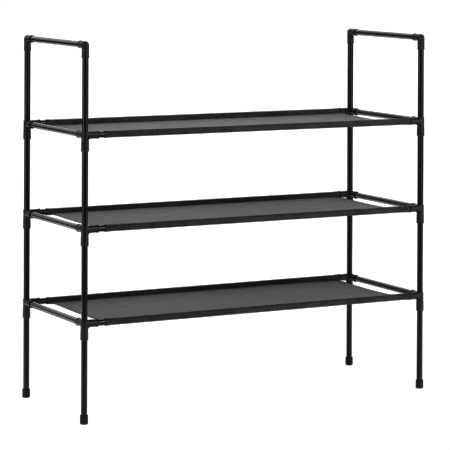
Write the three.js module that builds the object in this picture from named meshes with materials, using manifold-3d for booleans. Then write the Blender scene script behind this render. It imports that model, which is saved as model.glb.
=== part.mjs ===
// A three-tier shoe rack with a handle frame at each end. Steel tubes push into moulded corner
// connectors, and three fabric sheets hang between the long rails, each in two sewn sleeves.
// Units are millimetres and +Z is up. The origin is the centre of the footprint, on the floor.
// +X runs along the shelves and +Y runs to the back.

import * as THREE from "three";
import { mergeVertices } from "three/addons/utils/BufferGeometryUtils.js";
import Module from "manifold-3d";

const wasm = await Module();
wasm.setup();

// ---- Driving dimensions ----

const FACETS = 12; // flats round every tube, socket and foot
const SLEEVE_FACETS = 16; // flats round a sewn sleeve

// The three lengths of tube that the rack is cut from.
const TUBE_RADIUS = 6.5;
const TUBE_WALL = 0.5;
const POST_TUBE_LENGTH = 200;
const SIDE_BAR_LENGTH = 300;
const RAIL_LENGTH = 846;

// How tubes sit in the moulded sockets.
const SOCKET_CLEARANCE = 0.3; // radial, between a tube and its socket
const OVERCUT = 1; // how far a bore's cutter runs past the mouth
const END_GAP = 0.3; // left between a tube's end and the stop behind it
const STOP_THICKNESS = 4.4; // web between the upper and the lower post socket
const BAR_END = 9.5; // from a post's axis to the end of a bar or rail

// Corner connector, measured from the underside of its stop web.
const LOWER_SOCKET_DEPTH = 19.8;
const UPPER_SOCKET_DEPTH = 18.7;
const BAR_AXIS_ABOVE_STOP = 15.3;
const HUB_RADIUS = 7.9;
const SHOULDER_RADIUS = 8.1;
const LOWER_MOUTH_RADIUS = 8.5;
const SIDE_SOCKET_RADIUS = 7.8;
const SIDE_SOCKET_REACH = 31.5; // from the post's axis to the mouth
const BEAD_RADIUS = 8.5;
const BEAD_WIDTH = 2.4;
const GUSSET_LEG = 5.5;
const GUSSET_THICKNESS = 4;

// Elbow at the top of each post.
const ELBOW_RADIUS = 7.6;
const ELBOW_MOUTH_RADIUS = 8.1;
const ELBOW_BEAD_RADIUS = 8.1;
const ELBOW_REACH = 27.7; // from the bend's centre to either mouth
const POST_END_BELOW_HANDLE = 6.4;

// Foot cap.
const FOOT_HEIGHT = 19.5;
const FOOT_FLOOR = 2.1;
const FOOT_TOP_RADIUS = 8.4;
const FOOT_RADIUS = 8.6;
const FOOT_EDGE = 2.2;
const FOOT_EDGE_CORNER = 0.66; // how far in and up the middle of the rounded lower edge lies

// Fabric sheet.
const FABRIC_THICKNESS = 0.6;
const SLEEVE_CLEARANCE = 0.3;
const SHEET_LENGTH = 786;
const SHEET_SHIFT = 6.5; // the sheets sit this far towards +X of the middle of their rails
const SHEET_DROP = 5.8; // from the rails' axis down to the sheet's middle

const TIERS = 3;

// ---- Worked out from them ----

const BORE_RADIUS = TUBE_RADIUS + SOCKET_CLEARANCE;
const TIER_PITCH = POST_TUBE_LENGTH + STOP_THICKNESS + 2 * END_GAP;
const POST_X = RAIL_LENGTH / 2 + BAR_END;
const POST_Y = SIDE_BAR_LENGTH / 2 + BAR_END;
const LEG_BASE = FOOT_FLOOR + END_GAP;
const FIRST_STOP = LEG_BASE + POST_TUBE_LENGTH + END_GAP;
const stopHeight = (tier) => FIRST_STOP + tier * TIER_PITCH;
const barHeight = (tier) => stopHeight(tier) + BAR_AXIS_ABOVE_STOP;
const POST_TOP = LEG_BASE + TIERS * TIER_PITCH + POST_TUBE_LENGTH;
const HANDLE_HEIGHT = POST_TOP + POST_END_BELOW_HANDLE;

const CORNERS = [
  { name: "front_left", x: -POST_X, y: -POST_Y, turn: 0 },
  { name: "front_right", x: POST_X, y: -POST_Y, turn: Math.PI / 2 },
  { name: "back_right", x: POST_X, y: POST_Y, turn: Math.PI },
  { name: "back_left", x: -POST_X, y: POST_Y, turn: -Math.PI / 2 },
];
const TIER_NAMES = ["bottom", "middle", "top"];

// ---- Materials ----

const paintedSteel = new THREE.MeshStandardMaterial({ color: 0x0b0b0c, roughness: 0.32, metalness: 0.1 });
const mouldedPlastic = new THREE.MeshStandardMaterial({ color: 0x161617, roughness: 0.55, metalness: 0 });
const footRubber = new THREE.MeshStandardMaterial({ color: 0x101011, roughness: 0.7, metalness: 0 });
const shelfFabric = new THREE.MeshStandardMaterial({ color: 0x1c1c1d, roughness: 0.85, metalness: 0 });

// ---- Solids ----

// A closed manifold-3d solid from a three.js geometry.
function solidFrom(geometry) {
  geometry.deleteAttribute("normal");
  geometry.deleteAttribute("uv");
  const merged = mergeVertices(geometry, 1e-4);
  const vertProperties = new Float32Array(merged.attributes.position.array);
  const triVerts = new Uint32Array(merged.index.array);
  return new wasm.Manifold(new wasm.Mesh({ numProp: 3, vertProperties, triVerts }));
}

// A three.js geometry from a manifold-3d solid.
function geometryFrom(solid) {
  const mesh = solid.getMesh();
  const geometry = new THREE.BufferGeometry();
  geometry.setAttribute("position", new THREE.BufferAttribute(mesh.vertProperties, mesh.numProp));
  geometry.setIndex(new THREE.BufferAttribute(mesh.triVerts, 1));
  geometry.computeVertexNormals();
  return geometry;
}

// A turned shape about +Z. The profile is a list of [radius, height] that runs up the outside.
function turned(profile) {
  const points = profile.map(([radius, height]) => new THREE.Vector2(radius, height));
  return new THREE.LatheGeometry(points, FACETS).rotateX(Math.PI / 2);
}

// A plain round tube along +Z, open at both ends.
function tube(length) {
  const inner = TUBE_RADIUS - TUBE_WALL;
  return turned([
    [TUBE_RADIUS, 0],
    [TUBE_RADIUS, length],
    [inner, length],
    [inner, 0],
    [TUBE_RADIUS, 0],
  ]);
}

// A solid peg the size of a socket's bore, from one height to another.
function bore(from, to) {
  return turned([
    [0, from],
    [BORE_RADIUS, from],
    [BORE_RADIUS, to],
    [0, to],
  ]);
}

const alongX = (geometry) => geometry.rotateY(Math.PI / 2);
const alongY = (geometry) => geometry.rotateX(-Math.PI / 2);

// The outside of a side socket, from the post's axis to its beaded mouth.
function sideSocket(radius, beadRadius, reach) {
  return turned([
    [0, 0],
    [radius, 0],
    [radius, reach - BEAD_WIDTH],
    [beadRadius, reach - BEAD_WIDTH],
    [beadRadius, reach],
    [0, reach],
  ]);
}

// A web in the XZ plane that fills the corner under a side socket, rounded on its free edge.
function gusset() {
  const corner = new THREE.Shape();
  const socketUnderside = BAR_AXIS_ABOVE_STOP - SIDE_SOCKET_RADIUS;
  const buried = 2; // how far the web runs into the hub and the socket
  const outerX = HUB_RADIUS + GUSSET_LEG;
  const lowerZ = socketUnderside - GUSSET_LEG;
  corner.moveTo(HUB_RADIUS - buried, socketUnderside + buried);
  corner.lineTo(HUB_RADIUS - buried, lowerZ);
  corner.lineTo(HUB_RADIUS, lowerZ);
  corner.quadraticCurveTo(HUB_RADIUS, socketUnderside, outerX, socketUnderside);
  corner.lineTo(outerX, socketUnderside + buried);
  corner.closePath();
  const settings = { depth: GUSSET_THICKNESS, bevelEnabled: false, curveSegments: 2 };
  const web = new THREE.ExtrudeGeometry(corner, settings);
  return web.translate(0, 0, -GUSSET_THICKNESS / 2).rotateX(Math.PI / 2);
}

// The corner connector: post sockets above and below a stop web, side sockets towards +X and +Y.
// Its origin is on the post's axis, at the underside of the web.
function connectorGeometry() {
  const top = STOP_THICKNESS + UPPER_SOCKET_DEPTH;
  const hub = turned([
    [0, -LOWER_SOCKET_DEPTH],
    [LOWER_MOUTH_RADIUS, -LOWER_SOCKET_DEPTH],
    [SHOULDER_RADIUS, 0],
    [HUB_RADIUS, STOP_THICKNESS / 2],
    [HUB_RADIUS, top],
    [0, top],
  ]);
  const atBarAxis = (geometry) => geometry.translate(0, 0, BAR_AXIS_ABOVE_STOP);
  const socket = () => sideSocket(SIDE_SOCKET_RADIUS, BEAD_RADIUS, SIDE_SOCKET_REACH);
  const socketX = atBarAxis(alongX(socket()));
  const socketY = atBarAxis(alongY(socket()));
  const webs = [gusset(), gusset().rotateZ(Math.PI / 2)];
  const bores = [
    bore(-LOWER_SOCKET_DEPTH - OVERCUT, 0),
    bore(STOP_THICKNESS, top + OVERCUT),
    atBarAxis(alongX(bore(BAR_END - END_GAP, SIDE_SOCKET_REACH + OVERCUT))),
    atBarAxis(alongY(bore(BAR_END - END_GAP, SIDE_SOCKET_REACH + OVERCUT))),
  ];
  let body = solidFrom(hub);
  for (const added of [socketX, socketY, ...webs]) body = body.add(solidFrom(added));
  for (const removed of bores) body = body.subtract(solidFrom(removed));
  return geometryFrom(body);
}

// The elbow on a post: one socket down, one towards +Y, and a ball where they meet.
// Its origin is the centre of the ball.
function elbowGeometry() {
  const down = turned([
    [0, -ELBOW_REACH],
    [ELBOW_MOUTH_RADIUS, -ELBOW_REACH],
    [ELBOW_RADIUS, -ELBOW_REACH / 2],
    [ELBOW_RADIUS, 0],
    [0, 0],
  ]);
  const across = alongY(sideSocket(ELBOW_RADIUS, ELBOW_BEAD_RADIUS, ELBOW_REACH));
  const ball = turned([
    [0, -ELBOW_RADIUS],
    ...[-60, -30, 0, 30, 60].map((degrees) => {
      const angle = THREE.MathUtils.degToRad(degrees);
      return [ELBOW_RADIUS * Math.cos(angle), ELBOW_RADIUS * Math.sin(angle)];
    }),
    [0, ELBOW_RADIUS],
  ]);
  const body = solidFrom(down)
    .add(solidFrom(across))
    .add(solidFrom(ball))
    .subtract(solidFrom(bore(-ELBOW_REACH - OVERCUT, END_GAP - POST_END_BELOW_HANDLE)))
    .subtract(solidFrom(alongY(bore(BAR_END - END_GAP, ELBOW_REACH + OVERCUT))));
  return geometryFrom(body);
}

// The foot: a cap with a rounded lower edge and a blind bore. Its origin is on the floor.
function footGeometry() {
  return turned([
    [0, 0],
    [FOOT_RADIUS - FOOT_EDGE, 0],
    [FOOT_RADIUS - FOOT_EDGE_CORNER, FOOT_EDGE_CORNER],
    [FOOT_RADIUS, FOOT_EDGE],
    [FOOT_TOP_RADIUS, FOOT_HEIGHT],
    [BORE_RADIUS, FOOT_HEIGHT],
    [BORE_RADIUS, FOOT_FLOOR],
    [0, FOOT_FLOOR],
  ]);
}

// A shelf sheet: a flat panel between two sleeves. Drawn in YZ about the rails' axis height and
// extruded along +X from the origin.
function sheetGeometry() {
  const sleeveInner = TUBE_RADIUS + SLEEVE_CLEARANCE;
  const sleeveOuter = sleeveInner + FABRIC_THICKNESS;
  const panelTop = -SHEET_DROP + FABRIC_THICKNESS / 2;
  const panelBottom = -SHEET_DROP - FABRIC_THICKNESS / 2;
  const topAngle = Math.asin(panelTop / sleeveOuter);
  const bottomAngle = Math.asin(panelBottom / sleeveOuter);

  const outline = new THREE.Shape();
  // Round the back sleeve from its underside, over its top, to the panel's upper face.
  outline.absarc(POST_Y, 0, sleeveOuter, Math.PI - bottomAngle, 3 * Math.PI - topAngle, false);
  // Across the panel and round the front sleeve the other way.
  outline.absarc(-POST_Y, 0, sleeveOuter, topAngle, 2 * Math.PI + bottomAngle, false);
  outline.closePath();
  for (const side of [POST_Y, -POST_Y]) {
    const tunnel = new THREE.Path();
    tunnel.absarc(side, 0, sleeveInner, 0, 2 * Math.PI, true);
    outline.holes.push(tunnel);
  }
  // An arc is split into twice as many flats as the number of curve segments asked for.
  const curveSegments = SLEEVE_FACETS / 2;
  const settings = { depth: SHEET_LENGTH, bevelEnabled: false, curveSegments };
  const sheet = new THREE.ExtrudeGeometry(outline, settings);
  // Shape x becomes +Y, shape y becomes +Z and the extrusion runs along +X.
  return sheet.rotateY(Math.PI / 2).rotateX(Math.PI / 2);
}

// ---- Assembly ----

function named(name, geometry, material, x, y, z) {
  const mesh = new THREE.Mesh(geometry, material);
  mesh.name = name;
  mesh.position.set(x, y, z);
  return mesh;
}

const rack = new THREE.Group();

// One post: a foot, four equal tubes, a connector at each tier and the elbow.
const foot = footGeometry();
const postTube = tube(POST_TUBE_LENGTH);
const connector = connectorGeometry();
const elbow = elbowGeometry();
const POST_TUBE_NAMES = ["leg", "lower_post", "upper_post", "handle_post"];

for (const corner of CORNERS) {
  const post = new THREE.Group();
  post.position.set(corner.x, corner.y, 0);
  post.add(named(`foot_${corner.name}`, foot, footRubber, 0, 0, 0));
  POST_TUBE_NAMES.forEach((tubeName, level) => {
    const base = LEG_BASE + level * TIER_PITCH;
    post.add(named(`${tubeName}_${corner.name}`, postTube, paintedSteel, 0, 0, base));
  });
  TIER_NAMES.forEach((tierName, tier) => {
    const name = `connector_${tierName}_${corner.name}`;
    const mesh = named(name, connector, mouldedPlastic, 0, 0, stopHeight(tier));
    mesh.rotation.z = corner.turn;
    post.add(mesh);
  });
  const top = named(`elbow_${corner.name}`, elbow, mouldedPlastic, 0, 0, HANDLE_HEIGHT);
  top.rotation.z = corner.y < 0 ? 0 : Math.PI;
  post.add(top);
  rack.add(post);
}

// Side bars at each tier, and the handle bar over each end.
const sideBar = alongY(tube(SIDE_BAR_LENGTH)).translate(0, -SIDE_BAR_LENGTH / 2, 0);
for (const [sideName, x] of [["left", -POST_X], ["right", POST_X]]) {
  TIER_NAMES.forEach((tierName, tier) => {
    const name = `side_bar_${tierName}_${sideName}`;
    rack.add(named(name, sideBar, paintedSteel, x, 0, barHeight(tier)));
  });
  rack.add(named(`handle_bar_${sideName}`, sideBar, paintedSteel, x, 0, HANDLE_HEIGHT));
}

// Rails, and the sheet that hangs between them, at each tier.
const rail = alongX(tube(RAIL_LENGTH)).translate(-RAIL_LENGTH / 2, 0, 0);
const sheet = sheetGeometry().translate(SHEET_SHIFT - SHEET_LENGTH / 2, 0, 0);
TIER_NAMES.forEach((tierName, tier) => {
  rack.add(named(`rail_${tierName}_front`, rail, paintedSteel, 0, -POST_Y, barHeight(tier)));
  rack.add(named(`rail_${tierName}_back`, rail, paintedSteel, 0, POST_Y, barHeight(tier)));
  rack.add(named(`shelf_${tierName}`, sheet, shelfFabric, 0, 0, barHeight(tier)));
});

export default rack;
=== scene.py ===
"""Looks for a tiered shoe rack: smooth tubes, moulded fittings, feet and sewn cloth shelves.

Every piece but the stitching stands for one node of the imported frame, and places come from the
boxes of nodes. Shapes are worked out in millimetres, in their own local frames, and placed in
metres.
"""

import math

import bpy
import numpy as np
from mathutils import Matrix, Vector


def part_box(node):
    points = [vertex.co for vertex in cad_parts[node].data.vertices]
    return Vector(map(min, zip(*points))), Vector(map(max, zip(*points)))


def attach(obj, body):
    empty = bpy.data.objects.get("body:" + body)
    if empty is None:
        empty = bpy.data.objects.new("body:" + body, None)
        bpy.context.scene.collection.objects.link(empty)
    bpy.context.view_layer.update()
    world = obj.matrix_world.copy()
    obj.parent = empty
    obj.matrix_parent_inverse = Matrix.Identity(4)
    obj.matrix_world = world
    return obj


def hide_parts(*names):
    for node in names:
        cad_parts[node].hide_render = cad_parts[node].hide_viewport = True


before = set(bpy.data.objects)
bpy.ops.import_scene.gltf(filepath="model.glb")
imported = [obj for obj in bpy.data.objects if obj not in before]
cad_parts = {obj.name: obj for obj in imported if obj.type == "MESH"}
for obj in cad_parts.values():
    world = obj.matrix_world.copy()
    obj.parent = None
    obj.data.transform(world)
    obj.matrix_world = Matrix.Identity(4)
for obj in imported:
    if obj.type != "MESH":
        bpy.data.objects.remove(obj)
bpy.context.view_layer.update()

MM = 0.001
CORNERS = {"front_left": 0, "front_right": 90, "back_right": 180, "back_left": -90}  # turns, in degrees
TIERS = ("bottom", "middle", "top")
POST_TUBES = ("leg", "lower_post", "upper_post", "handle_post")

# Tubes and fittings, in mm.
TUBE_RADIUS = 6.5
TUBE_WALL = 0.5
BORE_RADIUS = 6.62
HUB_RADIUS = 7.9
LOWER_SHOULDER_RADIUS = 8.25
LOWER_MOUTH_RADIUS = 8.45
SIDE_SOCKET_RADIUS = 7.8
BEAD_WIDTH = 2.4
STOP_BELOW_BAR = 15.3
STOP_THICKNESS = 4.4
BAR_END = 9.5
GUSSET_LEG = 5.5
GUSSET_HALF = 2.0
ELBOW_RADIUS = 7.6
ELBOW_BEAD = 8.1
ELBOW_TAPER = 12.0
ELBOW_STEP = 0.25
ELBOW_RIM_HEIGHT = 2.0
POST_END_BELOW_HANDLE = 6.4
FOOT_FLOOR = 2.1

# How moulded edges are softened, and how far cutters run past what they cut, in mm.
RIM_ROUNDING = 0.5
STEP_ROUNDING = 0.4
BORE_ROUNDING = 0.2
MOUTH_SOFTNESS = 0.5
STEP_FILLET = 0.25
BEAD_FILLET = 0.35
ELBOW_RIM_FILLET = 0.4
GUSSET_FILLET = 0.9
SOCKET_FILLET = 1.2
BEND_FILLET = 1.5
END_GAP = 0.2
OVERCUT = 9.0
NET_MARGIN = 1.5

# Cloth shelves, in mm. What comes in threes is for the bottom, middle and top tiers.
CLOTH = 0.5
PLY_GAP = 0.6
SLEEVE_RADIUS = 6.98
SEAM_INBOARD = 9.5
PANEL_START = 1.8
SEAM_DROPS = (3.4, 3.4, 5.0)
CORNER_DROPS = (2.5, 2.5, -1.6)
CORNER_BLEND = 40.0
ALLOWANCE = 7.0
HEM = 9.0
SAG = 3.2
LEFT_TRIMS = (4.0, 1.5, 0.0)
LEFT_INSETS = (11.0, 12.0, 10.0)
RIGHT_INSETS = (4.0, 6.0, 8.0)
INSET_BLEND = 70.0
PUCKER = 0.28
PUCKER_REACH = 9.0
THREADS_PER_METRE = 1150

# The cloth's grid: steps of the seam allowance, points round a sleeve and over a panel, mm between rows.
ALLOWANCE_STEPS = (1.0, 0.66, 0.33, 0.0)
RING_POINTS = 34
PANEL_POINTS = 70
ROW_STEP = 4.0

# Camera, in metres and degrees. The shift is a share of the picture's side.
CAMERA_PLACE = (-2.500, -4.680, 1.0775)
CAMERA_TURN = -28.06
CAMERA_PITCH = -0.25
CAMERA_ROLL = 0.24
CAMERA_LENS = 182.9
CAMERA_SHIFT = -0.6364

# Picture. The knots bend its response between mid grey and white.
GAMMA = 0.55
RESPONSE_KNOTS = ((0.36, 0.36), (0.55, 0.45), (0.8, 0.65))
FILTER_WIDTH = 1.3
PAPER_WHITE = 1.03

# Soft lights: angle from the camera's side in degrees, distance, height and size in metres, radiance.
SOFT_LIGHTS = {
    "top_light": (150, 0.4, 2.7, (2.8, 2.8), 0.8),
    "front_light": (34, 1.4, 1.3, (0.7, 0.7), 9.0),
    "left_light": (-61, 2.7, 0.9, (1.9, 2.4), 5.5),
    "right_light": (60, 2.7, 1.1, (1.9, 2.8), 4.7),
}


# ---- Small tools ----


def centre(node):
    """The middle of a node's box."""
    low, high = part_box(node)
    return (Vector(low) + Vector(high)) / 2


def mesh_from(name, points_mm, faces, material):
    """A smooth-shaded mesh from points in mm."""
    mesh = bpy.data.meshes.new(name)
    mesh.from_pydata((np.asarray(points_mm) * MM).tolist(), [], faces)
    mesh.materials.append(material)
    mesh.polygons.foreach_set("use_smooth", [True] * len(mesh.polygons))
    mesh.update()
    return mesh


def piece(name, mesh, matrix, slot, *nodes):
    """A visible piece that rides on the rack and stands for the given nodes."""
    thing = bpy.data.objects.new(name, mesh)
    bpy.context.scene.collection.objects.link(thing)
    thing.matrix_world = matrix
    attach(thing, "root")
    if nodes:
        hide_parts(*nodes)
    return thing


def turned(profile, segments=72):
    """Points and faces of a closed shape turned about +Z. A profile that touches the axis ends on it."""
    points = []
    rings = []
    for radius, height in profile:
        if radius == 0:
            rings.append([len(points)])
            points.append((0, 0, height))
            continue
        rings.append(list(range(len(points), len(points) + segments)))
        for step in range(segments):
            angle = 2 * math.pi * step / segments
            points.append((radius * math.cos(angle), radius * math.sin(angle), height))
    faces = []
    closed = profile[0][0] > 0
    following = rings[1:] + rings[:1] if closed else rings[1:]
    for ring, after in zip(rings, following):
        for step in range(segments):
            ahead = (step + 1) % segments
            if len(ring) == 1:
                faces.append((ring[0], after[ahead], after[step]))
            elif len(after) == 1:
                faces.append((ring[step], ring[ahead], after[0]))
            else:
                faces.append((ring[step], ring[ahead], after[ahead], after[step]))
    return points, faces


def arc(across, up, radius, start, end, steps=5):
    """Profile points round a centre, with angles in degrees."""
    angles = np.radians(np.linspace(start, end, steps))
    return [(across + radius * math.cos(a), up + radius * math.sin(a)) for a in angles]


def grow(tree, kind, inputs=None, **properties):
    """Adds a shader node, linking or setting its inputs."""
    made = tree.nodes.new(kind)
    for name, value in properties.items():
        setattr(made, name, value)
    for name, value in (inputs or {}).items():
        if isinstance(value, bpy.types.NodeSocket):
            tree.links.new(value, made.inputs[name])
        else:
            made.inputs[name].default_value = value
    return made


def ramp(tree, value, from_low, from_high, to_low, to_high):
    """A shader value carried from one range to another and held at its ends."""
    settings = {
        "Value": value,
        "From Min": from_low,
        "From Max": from_high,
        "To Min": to_low,
        "To Max": to_high,
    }
    return grow(tree, "ShaderNodeMapRange", settings).outputs["Result"]


# ---- Solids from a distance function ----


def rod(radial, along, radius, low, high, rounding):
    """Distance to a round bar with softened rims, from its radial and axial coordinates."""
    side = radial - (radius - rounding)
    end = np.abs(along - (low + high) / 2) - ((high - low) / 2 - rounding)
    outside = np.hypot(np.maximum(side, 0), np.maximum(end, 0))
    return outside + np.minimum(np.maximum(side, end), 0) - rounding


def join(a, b, softness):
    """Union of two distances with a fillet."""
    mix = np.clip(0.5 + 0.5 * (b - a) / softness, 0, 1)
    return b + (a - b) * mix - softness * mix * (1 - mix)


def cut(body, cutter, softness):
    """The body without the cutter, with a softened edge."""
    return -join(-body, cutter, softness)


def surface_net(distance, low, high, cell):
    """Points and quads on the zero surface of a distance function: one point in each grid cell
    that the surface crosses."""
    axes = [np.arange(low[i], high[i] + cell, cell) for i in range(3)]
    grid = np.stack(np.meshgrid(*axes, indexing="ij"), axis=-1)
    inside = (distance(grid.reshape(-1, 3)) < 0).reshape(grid.shape[:3])
    last = [count - 1 for count in inside.shape]
    filled = sum(
        inside[i : last[0] + i, j : last[1] + j, k : last[2] + k].astype(int)
        for i in (0, 1)
        for j in (0, 1)
        for k in (0, 1)
    )
    crossed = (filled > 0) & (filled < 8)
    number = np.full(crossed.shape, -1)
    number[crossed] = np.arange(crossed.sum())
    points = np.array(low) + (np.argwhere(crossed) + 0.5) * cell
    quads = []
    for axis in range(3):
        first, second = [a for a in range(3) if a != axis]
        ahead = np.take(inside, range(1, inside.shape[axis]), axis=axis)
        behind = np.take(inside, range(inside.shape[axis] - 1), axis=axis)
        for solid_behind in (True, False):
            edges = np.argwhere((behind != ahead) & (behind == solid_behind))
            ring = []
            for step in ((-1, -1), (0, -1), (0, 0), (-1, 0)):
                cells = edges.copy()
                cells[:, first] += step[0]
                cells[:, second] += step[1]
                ring.append(number[tuple(cells.T)])
            # The second axis of the three is the odd one out in the right-hand rule.
            outward = solid_behind != (axis == 1)
            quads.append(np.stack(ring if outward else ring[::-1], axis=1))
    return points, np.concatenate(quads)


def settle(points, quads, distance, rounds=10, pulls=3):
    """Evens out the points and pulls them onto the zero surface."""
    step = 0.01
    weakest_slope = 0.2
    count = len(points)
    edges = np.concatenate([quads[:, [0, 1]], quads[:, [1, 2]], quads[:, [2, 3]], quads[:, [3, 0]]])
    degree = np.bincount(edges.ravel(), minlength=count)[:, None]
    for _ in range(rounds):
        total = np.zeros_like(points)
        for axis in range(3):
            total[:, axis] += np.bincount(edges[:, 0], points[edges[:, 1], axis], count)
            total[:, axis] += np.bincount(edges[:, 1], points[edges[:, 0], axis], count)
        points = 0.5 * points + 0.5 * total / degree
        for _ in range(pulls):
            here = distance(points)
            slope = np.stack(
                [(distance(points + step * np.eye(3)[a]) - here) / step for a in range(3)], axis=1
            )
            strength = np.maximum((slope**2).sum(axis=1, keepdims=True), weakest_slope)
            points = points - here[:, None] * slope / strength
    return points


def moulded(name, distance, low, high, material, cell=0.62):
    """A mesh of a moulded part from its distance function."""
    points, quads = surface_net(distance, low, high, cell)
    points = settle(points, quads, distance)
    return mesh_from(name, points, quads.tolist(), material)


# ---- Materials ----


class Shader:
    """A principled material whose inputs are fed by short chains of nodes."""

    def __init__(self, name, **settings):
        self.material = bpy.data.materials.new(name)
        self.material.use_nodes = True
        self.tree = self.material.node_tree
        self.surface = self.tree.nodes["Principled BSDF"]
        for socket, value in settings.items():
            self.surface.inputs[socket.replace("_", " ")].default_value = value

    def coordinates(self, kind, scale=(1, 1, 1)):
        """The surface's own coordinates of a kind, scaled."""
        source = grow(self.tree, "ShaderNodeTexCoord").outputs[kind]
        return grow(self.tree, "ShaderNodeMapping", {"Vector": source, "Scale": scale}).outputs["Vector"]

    def noise(self, vector, scale, detail=2.0, roughness=0.5):
        """Soft noise, mostly between 0.3 and 0.7."""
        settings = {"Vector": vector, "Scale": scale, "Detail": detail, "Roughness": roughness}
        return grow(self.tree, "ShaderNodeTexNoise", settings).outputs["Fac"]

    def remap(self, value, from_low, from_high, to_low, to_high):
        """A value carried from one range to another."""
        return ramp(self.tree, value, from_low, from_high, to_low, to_high)

    def spread(self, noise, low, high):
        """A noise's usual range carried to the one given."""
        return self.remap(noise, 0.3, 0.7, low, high)

    def maths(self, operation, first, second=0):
        """The result of a maths node."""
        values = {0: first, 1: second}
        return grow(self.tree, "ShaderNodeMath", values, operation=operation).outputs["Value"]

    def add(self, first, second):
        """The sum of two values."""
        return self.maths("ADD", first, second)

    def times(self, first, second):
        """The product of two values."""
        return self.maths("MULTIPLY", first, second)

    def mix(self, factor, dark, light):
        """A colour between two others."""
        colours = {"Factor": factor, "A": (*dark, 1), "B": (*light, 1)}
        return grow(self.tree, "ShaderNodeMix", colours, data_type="RGBA").outputs["Result"]

    def feed(self, socket, value):
        """Links a value to one of the surface's inputs."""
        self.tree.links.new(value, self.surface.inputs[socket])

    def bump(self, height, distance, strength=1.0):
        """Small relief, with its depth in metres."""
        settings = {"Height": height, "Distance": distance, "Strength": strength}
        self.feed("Normal", grow(self.tree, "ShaderNodeBump", settings).outputs["Normal"])


def powder_coat():
    """Satin black paint on steel: a fine orange peel, and patches that shine a little more or less."""
    shader = Shader("powder_coated_steel", Specular_IOR_Level=0.42)
    place = shader.coordinates("Object")
    patches = shader.noise(place, 38, 4, 0.6)
    shader.feed("Base Color", shader.mix(patches, (0.007, 0.007, 0.008), (0.014, 0.014, 0.015)))
    specks = shader.noise(place, 900)
    shader.feed("Roughness", shader.add(shader.spread(patches, 0.26, 0.31), shader.times(specks, 0.04)))
    peel = shader.noise(place, 620, 2, 0.55)
    shader.bump(peel, 0.00003, 0.3)
    return shader.material


def moulded_plastic():
    """Matte black polypropylene: spark-eroded grain, faint flow marks and rims worn a little paler."""
    shader = Shader("moulded_plastic", Specular_IOR_Level=0.45)
    flow = shader.noise(shader.coordinates("Object", (60, 60, 160)), 1.6, 5, 0.55)
    worn = grow(shader.tree, "ShaderNodeNewGeometry").outputs["Pointiness"]
    rims = shader.remap(worn, 0.52, 0.60, 0, 0.35)
    tone = shader.add(shader.times(flow, 0.7), rims)
    shader.feed("Base Color", shader.mix(tone, (0.013, 0.013, 0.014), (0.034, 0.034, 0.035)))
    shader.feed("Roughness", shader.spread(flow, 0.42, 0.52))
    grain = shader.noise(shader.coordinates("Object"), 2600, 2, 0.6)
    shader.bump(grain, 0.00006, 0.5)
    return shader.material


def foot_plastic():
    """Softer, duller plastic, scuffed and dusty where it meets the floor."""
    shader = Shader("foot_plastic", Specular_IOR_Level=0.4)
    place = shader.coordinates("Object")
    height = grow(shader.tree, "ShaderNodeSeparateXYZ", {"Vector": place}).outputs["Z"]
    near_floor = shader.remap(height, 0.0, 0.006, 1, 0)
    scuffs = shader.noise(shader.coordinates("Object", (300, 300, 900)), 1.5, 4, 0.7)
    dust = shader.times(near_floor, shader.remap(scuffs, 0.45, 0.7, 0.1, 1))
    shader.feed("Base Color", shader.mix(dust, (0.014, 0.014, 0.015), (0.060, 0.058, 0.055)))
    shader.feed("Roughness", shader.spread(scuffs, 0.52, 0.72))
    shader.bump(shader.noise(place, 2000, 3), 0.00008, 0.6)
    return shader.material


def woven_cloth():
    """Dark grey plain weave. Warp and weft run along the UV axes, which are metres of cloth."""
    shader = Shader("woven_cloth", Specular_IOR_Level=0.3, Sheen_Weight=0.21, Sheen_Roughness=0.4)
    parts = grow(shader.tree, "ShaderNodeSeparateXYZ", {"Vector": shader.coordinates("UV")}).outputs
    radians_per_metre = math.pi * THREADS_PER_METRE
    warp = shader.maths("SINE", shader.times(parts["X"], radians_per_metre))
    weft = shader.maths("SINE", shader.times(parts["Y"], radians_per_metre))
    weave = shader.remap(shader.times(warp, weft), -1, 1, 0, 1)
    slubs = shader.noise(shader.coordinates("UV", (22, 900, 1)), 1, 3, 0.6)
    cross_slubs = shader.noise(shader.coordinates("UV", (900, 30, 1)), 1, 3, 0.6)
    grain = shader.noise(shader.coordinates("UV", (24, 60, 1)), 1, 3, 0.7)
    shade = shader.noise(shader.coordinates("UV", (5, 9, 1)), 1, 4, 0.55)
    streaks = shader.add(shader.times(slubs, 0.62), shader.times(cross_slubs, 0.38))
    tone = shader.add(shader.remap(streaks, 0.36, 0.64, 0, 0.8), shader.spread(shade, -0.12, 0.12))
    tone = shader.add(tone, shader.times(weave, 0.25))
    tone = shader.add(tone, shader.spread(grain, -0.32, 0.32))
    shader.feed("Base Color", shader.mix(tone, (0.025, 0.025, 0.026), (0.070, 0.070, 0.072)))
    shader.feed("Roughness", shader.spread(streaks, 0.74, 0.92))
    shader.bump(shader.add(weave, shader.times(streaks, 1.2)), 0.00012, 0.6)
    return shader.material


def polyester_thread():
    """Black sewing thread with a twist across each stitch."""
    shader = Shader("sewing_thread", Roughness=0.5, Sheen_Weight=0.2)
    twist = shader.noise(shader.coordinates("Object", (1500, 4000, 4000)), 1)
    shader.feed("Base Color", shader.mix(twist, (0.012, 0.012, 0.013), (0.034, 0.034, 0.035)))
    shader.bump(twist, 0.00005, 0.5)
    return shader.material


STEEL = powder_coat()
PLASTIC = moulded_plastic()
FOOT = foot_plastic()
WOVEN = woven_cloth()
THREAD = polyester_thread()


# ---- Tubes ----


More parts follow.
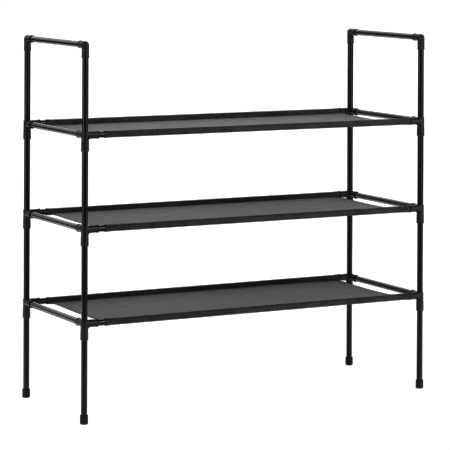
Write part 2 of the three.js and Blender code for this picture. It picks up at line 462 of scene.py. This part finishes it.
def tube_mesh(name, length):
    """A thin-walled tube along +Z about its middle, with rolled lips at both ends."""
    lip = TUBE_WALL / 2
    middle = TUBE_RADIUS - lip
    inner = TUBE_RADIUS - TUBE_WALL
    top = length / 2
    support = 1.2  # from each end to a ring of points that keeps the wall's shading straight
    profile = [(TUBE_RADIUS, support - top), (TUBE_RADIUS, top - support)]
    profile += arc(middle, top - lip, lip, 0, 180, 9)
    profile += [(inner, top - support), (inner, support - top)]
    profile += arc(middle, lip - top, lip, 180, 360, 9)
    points, faces = turned(profile)
    return mesh_from(name, points, faces, STEEL)


def place_tubes():
    """Posts, bars and rails. Each is rolled by a different amount, so that their paint differs."""
    roll_step = 0.7
    meshes = {}
    turns = {
        0: Matrix.Rotation(math.radians(90), 4, "Y"),
        1: Matrix.Rotation(math.radians(-90), 4, "X"),
        2: Matrix.Identity(4),
    }
    names = [f"{tube}_{corner}" for tube in POST_TUBES for corner in CORNERS]
    names += [f"side_bar_{tier}_{side}" for tier in TIERS for side in ("left", "right")]
    names += ["handle_bar_left", "handle_bar_right"]
    names += [f"rail_{tier}_{side}" for tier in TIERS for side in ("front", "back")]
    for number, node in enumerate(names):
        low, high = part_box(node)
        size = Vector(high) - Vector(low)
        axis = max(range(3), key=lambda a: size[a])
        length = round(size[axis] / MM)
        if length not in meshes:
            meshes[length] = tube_mesh(f"tube_{length}", length)
        roll = Matrix.Rotation(number * roll_step, 4, "Z")
        matrix = Matrix.Translation(centre(node)) @ turns[axis] @ roll
        piece(f"{node}_tube", meshes[length], matrix, "tube_steel", node)


# ---- Moulded fittings ----


def connector_distance(reach, bead, lower_mouth):
    """Distance to the corner connector. Its origin is where the bars' axes cross the post's."""
    stop_low = -STOP_BELOW_BAR
    stop_high = stop_low + STOP_THICKNESS
    lower_top = stop_low + 0.6
    upper_foot = stop_low - 2
    scoop_along = HUB_RADIUS + GUSSET_LEG
    scoop_height = -SIDE_SOCKET_RADIUS - GUSSET_LEG
    taper = ([lower_mouth, stop_low], [LOWER_MOUTH_RADIUS, LOWER_SHOULDER_RADIUS])

    def distance(p):
        x, y, z = p[:, 0], p[:, 1], p[:, 2]
        from_post = np.hypot(x, y)
        flare = np.interp(z, *taper)
        lower = rod(from_post, z, flare, lower_mouth, lower_top, STEP_ROUNDING)
        upper = rod(from_post, z, HUB_RADIUS, upper_foot, SIDE_SOCKET_RADIUS, STEP_ROUNDING)
        body = join(lower, upper, STEP_FILLET)
        for along, across in ((x, y), (y, x)):
            from_bar = np.hypot(across, z)
            socket = rod(from_bar, along, SIDE_SOCKET_RADIUS, 0, reach, RIM_ROUNDING)
            ring = rod(from_bar, along, bead, reach - BEAD_WIDTH, reach, RIM_ROUNDING)
            body = join(body, join(socket, ring, BEAD_FILLET), SOCKET_FILLET)
            scoop = GUSSET_LEG - np.hypot(along - scoop_along, z - scoop_height)
            bounds = np.maximum.reduce([along - scoop_along, scoop_height - z, z, -along])
            web = np.maximum.reduce([scoop, bounds, np.abs(across) - GUSSET_HALF])
            body = join(body, web, GUSSET_FILLET)
        below = rod(from_post, z, BORE_RADIUS, lower_mouth - OVERCUT, stop_low, BORE_ROUNDING)
        above = rod(from_post, z, BORE_RADIUS, stop_high, SIDE_SOCKET_RADIUS + OVERCUT, BORE_ROUNDING)
        body = cut(cut(body, below, MOUTH_SOFTNESS), above, MOUTH_SOFTNESS)
        for along, across in ((x, y), (y, x)):
            from_bar = np.hypot(across, z)
            bore = rod(from_bar, along, BORE_RADIUS, BAR_END - END_GAP, reach + OVERCUT, BORE_ROUNDING)
            body = cut(body, bore, MOUTH_SOFTNESS)
        return body

    return distance


def elbow_distance(reach):
    """Distance to the elbow: one leg down, one towards +Y, with a ball at the bend."""
    mouth = ELBOW_RADIUS + ELBOW_STEP
    taper = ([-reach, -reach + ELBOW_TAPER], [mouth, ELBOW_RADIUS])
    post_end = END_GAP - POST_END_BELOW_HANDLE
    bar_end = BAR_END - END_GAP

    def distance(p):
        x, y, z = p[:, 0], p[:, 1], p[:, 2]
        from_post = np.hypot(x, y)
        from_bar = np.hypot(x, z)
        flare = np.interp(z, *taper)
        down = rod(from_post, z, flare, -reach, 0, RIM_ROUNDING)
        rim = rod(from_post, z, mouth + ELBOW_STEP, -reach, -reach + ELBOW_RIM_HEIGHT, RIM_ROUNDING)
        across = rod(from_bar, y, ELBOW_RADIUS, 0, reach, RIM_ROUNDING)
        ring = rod(from_bar, y, ELBOW_BEAD, reach - BEAD_WIDTH, reach, STEP_ROUNDING)
        ball = np.sqrt(x**2 + y**2 + z**2) - ELBOW_RADIUS
        body = join(join(down, rim, ELBOW_RIM_FILLET), join(across, ring, BEAD_FILLET), BEND_FILLET)
        body = np.minimum(body, ball)
        post_bore = rod(from_post, z, BORE_RADIUS, -reach - OVERCUT, post_end, BORE_ROUNDING)
        bar_bore = rod(from_bar, y, BORE_RADIUS, bar_end, reach + OVERCUT, BORE_ROUNDING)
        return cut(cut(body, post_bore, MOUTH_SOFTNESS), bar_bore, MOUTH_SOFTNESS)

    return distance


def place_connectors():
    """Twelve copies of one moulding, turned to their corners."""
    low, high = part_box("connector_bottom_front_left")
    post = centre("foot_front_left")
    bar_height = centre("side_bar_bottom_left").z
    reach = (high[0] - post.x) / MM
    bead = (post.x - low[0]) / MM
    lower_mouth = (low[2] - bar_height) / MM
    near = -bead - NET_MARGIN
    far = reach + NET_MARGIN
    mesh = moulded(
        "connector",
        connector_distance(reach, bead, lower_mouth),
        (near, near, lower_mouth - NET_MARGIN),
        (far, far, bead + NET_MARGIN),
        PLASTIC,
    )
    for tier in TIERS:
        height = centre(f"side_bar_{tier}_left").z
        for corner, turn in CORNERS.items():
            foot = centre(f"foot_{corner}")
            spot = Matrix.Translation((foot.x, foot.y, height))
            matrix = spot @ Matrix.Rotation(math.radians(turn), 4, "Z")
            node = f"connector_{tier}_{corner}"
            piece(f"{node}_moulding", mesh, matrix, "connector_plastic", node)


def place_elbows():
    """Four copies of one moulding. The back ones are turned round."""
    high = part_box("elbow_front_left")[1]
    reach = (high[1] - centre("foot_front_left").y) / MM
    height = centre("handle_bar_left").z
    side = ELBOW_BEAD + NET_MARGIN
    far = reach + NET_MARGIN
    mesh = moulded("elbow", elbow_distance(reach), (-side, -side, -far), (side, far, side), PLASTIC)
    for corner in CORNERS:
        foot = centre(f"foot_{corner}")
        turn = 0 if corner.startswith("front") else math.pi
        matrix = Matrix.Translation((foot.x, foot.y, height)) @ Matrix.Rotation(turn, 4, "Z")
        piece(f"elbow_{corner}_moulding", mesh, matrix, "connector_plastic", f"elbow_{corner}")


def foot_profile(radius, height):
    """Half the outline of a foot cap, from the middle of its sole round to the middle of its floor."""
    edge = 2.4  # radius of the rounded lower edge
    recess = 0.25  # how far the middle of the sole is set up
    groove = 0.25  # depth of the groove under the rim
    rim = 0.55  # rounding of the rim's outer edge
    lip = 0.3  # rounding of the bore's mouth
    bore_corner = 0.5
    sole = radius - edge
    top_radius = radius - 0.15
    profile = [(0, recess), (sole - 2.2, recess), (sole - 1.6, 0), (sole, 0)]
    profile += arc(sole, edge, edge, -80, 0, 8)
    profile += [(radius, edge + 1.0), (top_radius, height - 3.4)]
    profile += [(top_radius - groove, height - 3.0), (top_radius - groove, height - 2.6)]
    profile += [(top_radius, height - 2.2)]
    profile += arc(top_radius - rim, height - rim, rim, 0, 90, 5)
    profile += arc(BORE_RADIUS + lip, height - lip, lip, 90, 180, 4)
    profile += [(BORE_RADIUS, height - 2), (BORE_RADIUS, FOOT_FLOOR + bore_corner)]
    profile += [(BORE_RADIUS - bore_corner, FOOT_FLOOR), (0, FOOT_FLOOR)]
    return profile


def place_feet():
    """Four turned caps. Those at the left are turned differently from those at the right."""
    turn_per_metre = 7
    low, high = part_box("foot_front_left")
    radius = (high[0] - low[0]) / 2 / MM
    height = (high[2] - low[2]) / MM
    points, faces = turned(foot_profile(radius, height), 96)
    mesh = mesh_from("foot", points, faces, FOOT)
    for corner in CORNERS:
        foot = centre(f"foot_{corner}")
        matrix = Matrix.Translation((foot.x, foot.y, 0)) @ Matrix.Rotation(foot.x * turn_per_metre, 4, "Z")
        piece(f"foot_{corner}_cap", mesh, matrix, "foot_plastic", f"foot_{corner}")


# ---- Cloth shelves ----


def wave(values, pitch, seed):
    """Smooth seeded wandering between -1 and 1 along a line."""
    count = 512
    first = 100
    draws = np.random.default_rng(seed).uniform(-1, 1, count)
    steps = np.asarray(values) / pitch + first
    whole = np.floor(steps).astype(int)
    part = steps - whole
    part = part * part * (3 - 2 * part)
    return draws[whole % count] * (1 - part) + draws[(whole + 1) % count] * part


def grid_faces(rows, columns):
    """The four corners of every face of a grid of points."""
    number = np.arange(rows * columns).reshape(rows, columns)
    faces = np.stack([number[:-1, :-1], number[1:, :-1], number[1:, 1:], number[:-1, 1:]], axis=-1)
    return faces.reshape(-1, 4).tolist()


def hang(sheet, pinned, frames=40):
    """Lets a sheet fall under its own weight by cloth simulation, and gives its points in metres."""
    pins = sheet.vertex_groups.new(name="pins")
    pins.add(pinned, 1.0, "REPLACE")
    cloth = sheet.modifiers.new("cloth", "CLOTH")
    cloth.settings.quality = 6
    cloth.settings.mass = 0.02
    cloth.settings.tension_stiffness = 30
    cloth.settings.compression_stiffness = 30
    cloth.settings.shear_stiffness = 15
    cloth.settings.bending_stiffness = 1.5
    cloth.settings.shrink_min = -0.0012
    cloth.settings.vertex_group_mass = "pins"
    cloth.collision_settings.use_collision = False
    cloth.point_cache.frame_end = frames
    scene = bpy.context.scene
    for frame_number in range(1, frames + 1):
        scene.frame_set(frame_number)
    result = sheet.evaluated_get(bpy.context.evaluated_depsgraph_get()).to_mesh()
    places = np.empty(len(result.vertices) * 3)
    result.vertices.foreach_get("co", places)
    return places.reshape(-1, 3)


def hung_panel(length, width, seed):
    """How far a panel pinned along both long edges hangs below them, by cloth simulation. In mm, on
    a grid. The simulation gives the shape, and its deepest point is set to the sag."""
    cell = 8.0
    across = int(round(width / cell)) + 1
    along = int(round(length / cell)) + 1
    xs = np.linspace(0, length, along)
    ys = np.linspace(0, width, across)
    shape = np.sin(math.pi * ys / width)[None, :]
    ripple = wave(xs, 60, seed)[:, None] + 0.6 * wave(xs, 25, seed + 1)[:, None]
    grid = np.zeros((along, across, 3))
    grid[:, :, 0] = xs[:, None]
    grid[:, :, 1] = ys[None, :]
    grid[:, :, 2] = -0.4 * shape + 0.25 * ripple * shape
    mesh = mesh_from("panel_trial", grid.reshape(-1, 3), grid_faces(along, across), WOVEN)
    sheet = bpy.data.objects.new("panel_trial", mesh)
    bpy.context.scene.collection.objects.link(sheet)
    number = np.arange(along * across).reshape(along, across)
    places = hang(sheet, number[:, [0, -1]].ravel().tolist())
    fall = -places[:, 2].reshape(along, across) / MM
    bpy.data.objects.remove(sheet)
    bpy.data.meshes.remove(mesh)
    bpy.context.scene.frame_set(1)
    return fall * SAG / fall.max()


def between(table, xs, ys, length, width):
    """A table's values at any points, by linear interpolation on its grid."""
    rows, columns = table.shape
    i = np.clip(np.asarray(xs) / length, 0, 1) * (rows - 1)
    j = np.clip(np.asarray(ys) / width, 0, 1) * (columns - 1)
    i0 = np.minimum(i.astype(int), rows - 2)
    j0 = np.minimum(j.astype(int), columns - 2)
    a = i - i0
    b = j - j0
    near = table[i0, j0] * (1 - b) + table[i0, j0 + 1] * b
    far = table[i0 + 1, j0] * (1 - b) + table[i0 + 1, j0 + 1] * b
    return near * (1 - a) + far * a


def sleeve_path(radius, drop, plies):
    """The cloth's middle line round one rail: from the seam allowance under the panel, round the rail and
    back to the seam. Each point is (inboard of the rail's axis, above it) in mm. The allowance lies under
    the given number of plies."""
    lean = math.atan2(-drop, SEAM_INBOARD)
    spread = math.acos(radius / math.hypot(SEAM_INBOARD, drop))
    turns = np.linspace(lean - spread, lean + spread - 2 * math.pi, RING_POINTS)
    ring = np.stack([radius * np.cos(turns), radius * np.sin(turns)], axis=1)
    seam = np.array([SEAM_INBOARD, -drop])
    below = -drop - PLY_GAP * plies
    under = [(SEAM_INBOARD + ALLOWANCE * part, below) for part in ALLOWANCE_STEPS]
    falling = [ring[-1] + (seam - ring[-1]) * part for part in (0.25, 0.5, 0.72)]
    rounded = [
        (SEAM_INBOARD - 0.8, -drop + 0.9),
        (SEAM_INBOARD + 0.4, -drop + 0.2),
        (SEAM_INBOARD + PANEL_START, -drop),
    ]
    return np.concatenate([under, ring, falling, rounded])


def end_shift(x, y, length, half_width, insets):
    """How far a point moves along the rails so that the panel's ends curve in between the sleeves, in mm.
    The right end also slants: it reaches out a little at the back and has its full inset at the front."""
    left_inset, right_inset = insets
    across = np.clip(np.abs(y) / half_width, 0, 1)
    inward = 1 - across ** np.where(y < 0, 4.0, 14.0)
    slant = np.clip(0.5 - 1.2 * y / half_width, -0.6, 1)
    near_left = np.clip(1 - x / INSET_BLEND, 0, 1)
    near_right = np.clip(1 - (length - x) / INSET_BLEND, 0, 1)
    return inward * (left_inset * near_left**2 - right_inset * slant * near_right**2)


def stations_along(length):
    """Where the grid's rows lie along a sheet, each with its place through the hem's fold: 0 is the
    upper ply, and -1 the lower ply that is turned under at the ends."""
    hem = [(HEM, -1.0), (HEM * 0.6, -1.0), (HEM * 0.25, -1.0), (0.7, -0.97), (0.15, -0.75), (0.0, -0.5)]
    hem += [(0.15, -0.25), (0.6, -0.03), (1.6, 0.0)]
    inner = [(x, 0.0) for x in np.arange(ROW_STEP, length - ROW_STEP + 0.1, ROW_STEP)]
    return hem + inner + [(length - x, fold) for x, fold in reversed(hem)]


def sleeve_line(x, radius, drop, plies, pitches, seed):
    """A sleeve's path at one place along it, a little loose on its rail and uneven at its seam."""
    loose_pitch, fine_pitch, drop_pitch = pitches
    loose = 0.08 * wave(x, loose_pitch, seed) + 0.05 * wave(x, fine_pitch, seed + 1)
    return sleeve_path(radius + loose, drop + 0.3 * wave(x, drop_pitch, seed + 2), plies)


def shelf_surface(rail_y, length, insets, drops, seed):
    """A grid of points over the whole sheet, in mm from its left end, the middle and the rails' height.
    The drops are how far the seams lie below the rails, and how much further the back one does at its
    right end. Also gives the stations of the grid's rows."""
    seam_drop, corner_drop = drops
    width = 2 * (rail_y - SEAM_INBOARD - PANEL_START)
    fall = hung_panel(length, width, seed)
    span = np.linspace(-width / 2, width / 2, PANEL_POINTS + 2)[1:-1]
    share = (span + width / 2) / width
    stations = stations_along(length)
    rows = []
    for x, fold in stations:
        hem = max(0.0, 1 - min(x, length - x) / (HEM + 4))
        doubled = min(1, 1.6 * hem)
        plies = 1 + 2 * doubled
        radius = SLEEVE_RADIUS + PLY_GAP * doubled
        back_drop = seam_drop + corner_drop * math.exp((x - length) / CORNER_BLEND)
        front = sleeve_line(x, radius, seam_drop, plies, (37, 11, 55), seed + 5)
        back = sleeve_line(x, radius, back_drop, plies, (41, 13, 49), seed + 8)
        front_line = np.stack([front[:, 0] - rail_y, front[:, 1]], axis=1)
        back_line = np.stack([rail_y - back[:, 0], back[:, 1]], axis=1)[::-1]
        base = front[-1, 1] * (1 - share) + back[-1, 1] * share
        line = np.concatenate([front_line, np.stack([span, base], axis=1), back_line])
        sag = between(fall, np.full(len(line), x), line[:, 0] + width / 2, length, width)
        pucker = np.exp(-np.abs(np.abs(line[:, 0]) - width / 2) / PUCKER_REACH)
        sag = sag + pucker * PUCKER * wave(x, 7.5, seed + 11)
        beyond = np.abs(line[:, 0]) > width / 2
        line[:, 1] -= np.where(beyond, 0, sag)
        tangent = np.gradient(line, axis=0)
        tangent /= np.maximum(np.hypot(tangent[:, 0], tangent[:, 1]), 1e-6)[:, None]
        normal = np.stack([-tangent[:, 1], tangent[:, 0]], axis=1)
        line = line + normal * fold * PLY_GAP
        along = x + end_shift(x, line[:, 0], length, width / 2, insets)
        rows.append(np.column_stack([along, line]))
    return np.array(rows), stations


def shelf_mesh(name, points):
    """The sheet as one skin over the grid, with UVs in metres along and across the cloth."""
    rows, columns = points.shape[:2]
    mesh = mesh_from(name, points.reshape(-1, 3), grid_faces(rows, columns), WOVEN)
    steps_along = np.linalg.norm(np.diff(points, axis=0), axis=2).mean(axis=1)
    steps_across = np.linalg.norm(np.diff(points, axis=1), axis=2).mean(axis=0)
    along = np.concatenate([[0], np.cumsum(steps_along)]) * MM
    across = np.concatenate([[0], np.cumsum(steps_across)]) * MM
    flat = np.stack(np.meshgrid(along, across, indexing="ij"), axis=-1).reshape(-1, 2)
    corners = np.empty(len(mesh.loops), dtype=int)
    mesh.loops.foreach_get("vertex_index", corners)
    layer = mesh.uv_layers.new(name="cloth")
    layer.data.foreach_set("uv", flat[corners].ravel())
    return mesh


def stitch_run(path, height, pitch=4.2, length=3.1, thread=0.26):
    """Points and faces of a row of stitches along a path of (x, y) points. height gives the cloth's top at
    (x, y). All in mm."""
    path = np.asarray(path, dtype=float)
    steps = np.linalg.norm(np.diff(path, axis=0), axis=1)
    reached = np.concatenate([[0], np.cumsum(steps)])
    sides = 7
    stops = np.linspace(-1, 1, 7)

    def spot_at(along):
        """The point of the path that lies this far along it."""
        return np.array([np.interp(along, reached, path[:, axis]) for axis in (0, 1)])

    points = []
    faces = []
    for middle in np.arange(pitch / 2, reached[-1], pitch):
        start = spot_at(middle - 1)
        end = spot_at(middle + 1)
        ahead = (end - start) / np.linalg.norm(end - start)
        side = np.array([-ahead[1], ahead[0]])
        first = len(points)
        for stop in stops:
            spot = (start + end) / 2 + ahead * stop * length / 2
            thick = thread * math.sqrt(max(1 - stop**4, 0.02))
            lift = thread * 0.75 * (1 - stop**2) - thread * 0.45
            top = height(*spot) + lift
            for turn in range(sides):
                angle = 2 * math.pi * turn / sides
                out = spot + side * thick * math.cos(angle)
                points.append((out[0], out[1], top + thick * math.sin(angle)))
        for ring in range(len(stops) - 1):
            here = first + ring * sides
            for turn in range(sides):
                after = (turn + 1) % sides
                faces.append((here + turn, here + after, here + sides + after, here + sides + turn))
        faces.append(tuple(first + turn for turn in reversed(range(sides))))
        last = first + (len(stops) - 1) * sides
        faces.append(tuple(last + turn for turn in range(sides)))
    return points, faces


def join_runs(runs):
    """Several runs of stitches as one set of points and faces."""
    points = []
    faces = []
    for run_points, run_faces in runs:
        shift = len(points)
        points += run_points
        faces += [tuple(corner + shift for corner in face) for face in run_faces]
    return points, faces


def stitching(points, stations, length, half_width, insets):
    """Points and faces of a sheet's stitches: a row along each sleeve's seam and one across each hem."""
    from_seam = 1.4
    from_end = 5.5
    sleeve_from_end = 4
    main = [number for number, (x, fold) in enumerate(stations) if fold == 0]
    grid_x = np.array([stations[number][0] for number in main])
    sleeve_points = len(ALLOWANCE_STEPS) + RING_POINTS
    panels = points[main][:, sleeve_points:-sleeve_points]
    seam = half_width - from_seam

    def shifted(x, y):
        """How far the cloth at a point is moved along the rails."""
        return float(end_shift(x, y, length, half_width, insets))

    def cloth_top(x, y):
        """The height of the cloth's upper face, in mm."""
        flat_x = x - shifted(x, y)
        after = int(np.clip(np.searchsorted(grid_x, flat_x), 1, len(grid_x) - 1))
        share = (flat_x - grid_x[after - 1]) / (grid_x[after] - grid_x[after - 1])
        levels = [np.interp(y, panels[row, :, 1], panels[row, :, 2]) for row in (after - 1, after)]
        return float(levels[0] + (levels[1] - levels[0]) * share) + CLOTH / 2

    def end_path(x):
        """A line across the panel at a fixed distance from its curved end."""
        return [(x + shifted(x, y), y) for y in np.linspace(2 - seam, seam - 2, 60)]

    ends = (sleeve_from_end, length - sleeve_from_end)
    runs = [stitch_run([(x, y) for x in ends], cloth_top) for y in (-seam, seam)]
    runs += [stitch_run(end_path(x), cloth_top) for x in (from_end, length - from_end)]
    return join_runs(runs)


def place_shelves():
    """The three cloth sheets, each with its stitching. They differ as hand-fitted cloth does."""
    for tier_number, tier in enumerate(TIERS):
        node = f"shelf_{tier}"
        low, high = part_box(node)
        rail = centre(f"rail_{tier}_front")
        rail_y = -rail.y / MM
        trim = LEFT_TRIMS[tier_number]
        length = (high[0] - low[0]) / MM - trim
        half_width = rail_y - SEAM_INBOARD - PANEL_START
        insets = (LEFT_INSETS[tier_number], RIGHT_INSETS[tier_number])
        drops = (SEAM_DROPS[tier_number], CORNER_DROPS[tier_number])
        points, stations = shelf_surface(rail_y, length, insets, drops, 100 + 20 * tier_number)
        matrix = Matrix.Translation((low[0] + trim * MM, 0, rail.z))
        sheet = piece(f"{node}_cloth", shelf_mesh(node, points), matrix, "shelf_fabric", node)
        skin = sheet.modifiers.new("cloth_thickness", "SOLIDIFY")
        skin.thickness = CLOTH * MM
        skin.offset = 0
        thread_points, thread_faces = stitching(points, stations, length, half_width, insets)
        thread = mesh_from(f"stitching_{tier}", thread_points, thread_faces, THREAD)
        piece(f"stitching_{tier}", thread, matrix, "shelf_fabric")


# ---- Stage ----


def floor():
    """A white floor, wide enough to fill every view. To all but camera rays it glows as painted light,
    like a lit sweep:
    dimmer beneath the shelves as a painted shadow of them, brighter around them and falling off further
    out. The camera sees it plain white but for a faint shade near the rack."""
    half = 60
    points = [(-half, -half, 0), (half, -half, 0), (half, half, 0), (-half, half, 0)]
    lit_middle = (0.6, 1.1, 0)
    material = bpy.data.materials.new("pale_floor")
    material.use_nodes = True
    tree = material.node_tree
    tree.nodes.clear()
    place = grow(tree, "ShaderNodeNewGeometry").outputs["Position"]
    distance = grow(tree, "ShaderNodeVectorMath", {0: place}, operation="LENGTH").outputs["Value"]
    spots = {0: place, 1: lit_middle}
    from_lit = grow(tree, "ShaderNodeVectorMath", spots, operation="DISTANCE").outputs["Value"]
    # Painted shadow: the floor's glow is dimmer beneath the shelves, standing in for the shade that they
    # cast.
    glow_with_painted_shelf_shadow = ramp(tree, distance, 0.3, 0.8, 1.2, 2.7)
    fall = ramp(tree, from_lit, 1.6, 2.8, 1.0, 0.05)
    sweep = grow(tree, "ShaderNodeMath", {0: glow_with_painted_shelf_shadow, 1: fall}, operation="MULTIPLY").outputs["Value"]
    # Painted light: for all but camera rays the floor glows, though it is no lamp.
    sweep_light = grow(tree, "ShaderNodeEmission", {"Strength": sweep}).outputs["Emission"]
    shaded = grow(tree, "ShaderNodeBsdfDiffuse", {"Color": (0.8, 0.8, 0.8, 1)}).outputs["BSDF"]
    white = grow(tree, "ShaderNodeEmission", {"Strength": PAPER_WHITE}).outputs["Emission"]
    plain = ramp(tree, distance, 0.35, 0.8, 0.95, 1.0)
    pictured = grow(tree, "ShaderNodeMixShader", {0: plain, 1: shaded, 2: white}).outputs["Shader"]
    seen = grow(tree, "ShaderNodeLightPath").outputs["Is Camera Ray"]
    surface = grow(tree, "ShaderNodeMixShader", {0: seen, 1: sweep_light, 2: pictured}).outputs["Shader"]
    grow(tree, "ShaderNodeOutputMaterial", {"Surface": surface})
    mesh = bpy.data.meshes.new("floor")
    mesh.from_pydata(points, [], [(0, 1, 2, 3)])
    mesh.materials.append(material)
    thing = bpy.data.objects.new("floor", mesh)
    bpy.context.scene.collection.objects.link(thing)


def camera_side():
    """The level direction from the rack towards the camera, as an angle in radians."""
    return math.radians(90 + CAMERA_TURN) + math.pi


def softbox(name, angle, distance, height, size, radiance):
    """A soft light that faces the rack's middle. The angle is measured from the camera's side, positive to
    its right; the light's brightness is its radiance."""
    turn = camera_side() + math.radians(angle)
    place = Vector((distance * math.cos(turn), distance * math.sin(turn), height))
    target = Vector((0, 0, 0.45))
    lamp = bpy.data.lights.new(name, "AREA")
    lamp.shape = "RECTANGLE"
    lamp.size, lamp.size_y = size
    lamp.energy = radiance * math.pi * size[0] * size[1]
    thing = bpy.data.objects.new(name, lamp)
    bpy.context.scene.collection.objects.link(thing)
    thing.location = place
    thing.rotation_euler = (target - place).to_track_quat("-Z", "Y").to_euler()
    thing.visible_camera = False


def studio():
    """Soft boxes all round, a broad dim fill from the camera's side, and a bright backdrop behind the rack
    that starts a little above the horizon. The camera itself sees a white surround."""
    world = bpy.data.worlds.new("studio")
    bpy.context.scene.world = world
    world.use_nodes = True
    tree = world.node_tree
    surround = tree.nodes["Background"]
    toward = (math.cos(camera_side()), math.sin(camera_side()), 0.2)
    ray = grow(tree, "ShaderNodeTexCoord").outputs["Generated"]
    height = grow(tree, "ShaderNodeSeparateXYZ", {"Vector": ray}).outputs["Z"]
    rays = {0: ray, 1: toward}
    facing = grow(tree, "ShaderNodeVectorMath", rays, operation="DOT_PRODUCT").outputs["Value"]
    front_fill = ramp(tree, facing, 0.1, 1.0, 0.06, 0.35)
    behind = ramp(tree, facing, -0.35, -0.6, 0.0, 2.7)
    above = ramp(tree, height, 0.02, 0.16, 0.0, 1.0)
    backdrop = grow(tree, "ShaderNodeMath", {0: behind, 1: above}, operation="MULTIPLY").outputs["Value"]
    fill = grow(tree, "ShaderNodeMath", {0: front_fill, 1: backdrop}, operation="ADD").outputs["Value"]
    seen = grow(tree, "ShaderNodeLightPath").outputs["Is Camera Ray"]
    blend = {"Factor": seen, "A": fill, "B": PAPER_WHITE}
    strength = grow(tree, "ShaderNodeMix", blend, data_type="FLOAT").outputs["Result"]
    tree.links.new(strength, surround.inputs["Strength"])
    surround.inputs["Color"].default_value = (1, 1, 1, 1)
    for name, settings in SOFT_LIGHTS.items():
        softbox(name, *settings)


def camera():
    """A long lens held almost level and shifted down, as for a product picture with upright posts."""
    data = bpy.data.cameras.new("camera")
    thing = bpy.data.objects.new("camera", data)
    bpy.context.scene.collection.objects.link(thing)
    data.lens = CAMERA_LENS
    data.sensor_width = 36
    data.clip_end = 200
    place = Vector(CAMERA_PLACE)
    turn = Matrix.Rotation(math.radians(CAMERA_TURN), 4, "Z")
    tilt = Matrix.Rotation(math.radians(90 + CAMERA_PITCH), 4, "X")
    roll = Matrix.Rotation(math.radians(CAMERA_ROLL), 4, "Z")
    thing.matrix_world = Matrix.Translation(place) @ turn @ tilt @ roll
    # The shift holds only at this spot: a view from anywhere else is framed on the lens's own axis.
    spot = bpy.data.objects.new("camera_spot", None)
    bpy.context.scene.collection.objects.link(spot)
    spot.location = place
    curve = data.driver_add("shift_y")
    for modifier in list(curve.modifiers):
        curve.modifiers.remove(modifier)
    curve.driver.type = "SUM"
    moved = curve.driver.variables.new()
    moved.type = "LOC_DIFF"
    moved.targets[0].id = thing
    moved.targets[1].id = spot
    for distance, shift in ((0.0, CAMERA_SHIFT), (0.5, 0.0)):
        curve.keyframe_points.insert(distance, shift)
    bpy.context.scene.camera = thing


def picture():
    """The picture's tones and sharpness. Thin dark tubes keep their width against the white."""
    view = bpy.context.scene.view_settings
    view.view_transform = "Standard"
    view.gamma = GAMMA
    view.use_curve_mapping = True
    response = view.curve_mapping
    for light, shown in RESPONSE_KNOTS:
        knot = response.curves[3].points.new(light, shown)
        knot.handle_type = "VECTOR"
    response.update()
    cycles = bpy.context.scene.cycles
    cycles.filter_width = FILTER_WIDTH
    cycles.use_denoising = True


place_tubes()
place_connectors()
place_elbows()
place_feet()
place_shelves()
floor()
studio()
camera()
picture()

bpy.context.view_layer.update()
